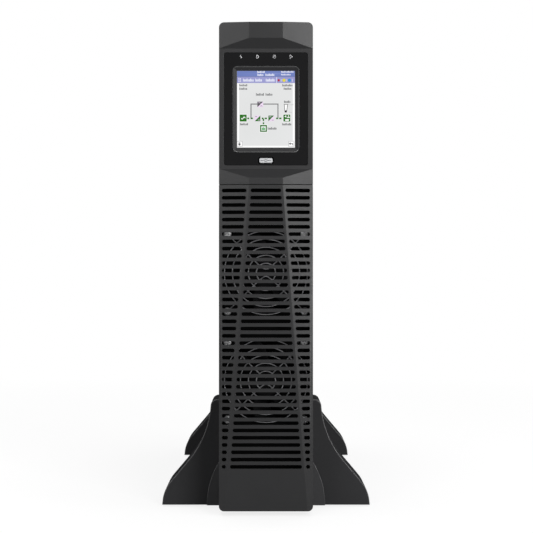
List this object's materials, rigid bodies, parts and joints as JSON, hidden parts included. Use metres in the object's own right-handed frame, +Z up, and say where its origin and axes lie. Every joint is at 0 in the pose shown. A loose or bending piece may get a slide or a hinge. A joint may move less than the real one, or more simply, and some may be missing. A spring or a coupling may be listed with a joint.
{
  "type": "rack-tower uninterruptible power supply",
  "caption": "Slim uninterruptible power supply standing on edge in moulded feet, with a slotted front cover, display, power key, fans and rear terminals.",
  "frame": {"origin": "on the floor, under the middle of the overall box", "axes": "+Z up, +Y from the front cover to the rear panel, +X to the right seen from the front"},
  "size_m": [0.198, 0.58, 0.4514],
  "materials": {
    "cover_plastic": "fine satin texture",
    "gloss_panel": "gloss",
    "border_plastic": "satin",
    "screen_glass": "lit display",
    "key_plastic": "satin silver",
    "black_plastic": "matt",
    "chassis_paint": "fine powder coat",
    "guard_wire": "plated wire",
    "screw_steel": "plated",
    "foot_plastic": "satin",
    "pad_rubber": "matt",
    "breaker_plastic": "matt",
    "connector_plastic": "matt",
    "port_metal": "plated",
    "terminal_plastic": "matt",
    "stud_brass": "plain"
  },
  "bodies": {
    "root": {"grille_cover": "cover_plastic", "display_surround": "cover_plastic", "display_panel": "gloss_panel", "screen_border": "border_plastic", "screen": "screen_glass", "button_guide": "black_plastic", "chassis_tray": "chassis_paint", "chassis_cover": "chassis_paint", "front_plate": "chassis_paint", "fan_frame_lower": "black_plastic", "fan_frame_upper": "black_plastic", "fan_guard_lower": "guard_wire", "fan_guard_upper": "guard_wire", "fan_screws": "screw_steel", "front_foot_left": "foot_plastic", "front_foot_right": "foot_plastic", "rear_foot_left": "foot_plastic", "rear_foot_right": "foot_plastic", "foot_pads": "pad_rubber", "rear_panel": "chassis_paint", "terminal_cover": "chassis_paint", "input_breaker": "breaker_plastic", "breaker_toggle": "black_plastic", "battery_connector": "connector_plastic", "card_slot_cover": "chassis_paint", "thumb_screws": "screw_steel", "usb_port": "port_metal", "network_port": "port_metal", "serial_port": "port_metal", "epo_terminal": "terminal_plastic", "ground_stud": "stud_brass", "power_module": "black_plastic"},
    "lower_fan": {"fan_rotor_lower": "black_plastic"},
    "upper_fan": {"fan_rotor_upper": "black_plastic"},
    "power_key": {"power_button": "key_plastic"}
  },
  "joints": [
    {"name": "lower_fan_spin", "type": "hinge", "parent": "root", "child": "lower_fan", "pos_m": [0, -0.2535, 0.122], "axis": [0, 1, 0], "continuous": true},
    {"name": "upper_fan_spin", "type": "hinge", "parent": "root", "child": "upper_fan", "pos_m": [0, -0.2535, 0.2221], "axis": [0, 1, 0], "continuous": true},
    {"name": "power_key_press", "type": "slide", "parent": "root", "child": "power_key", "axis": [0, 1, 0], "range_m": [0, 0.0015], "stiffness_N_per_m": 300, "springref_m": -0.0005}
  ]
}
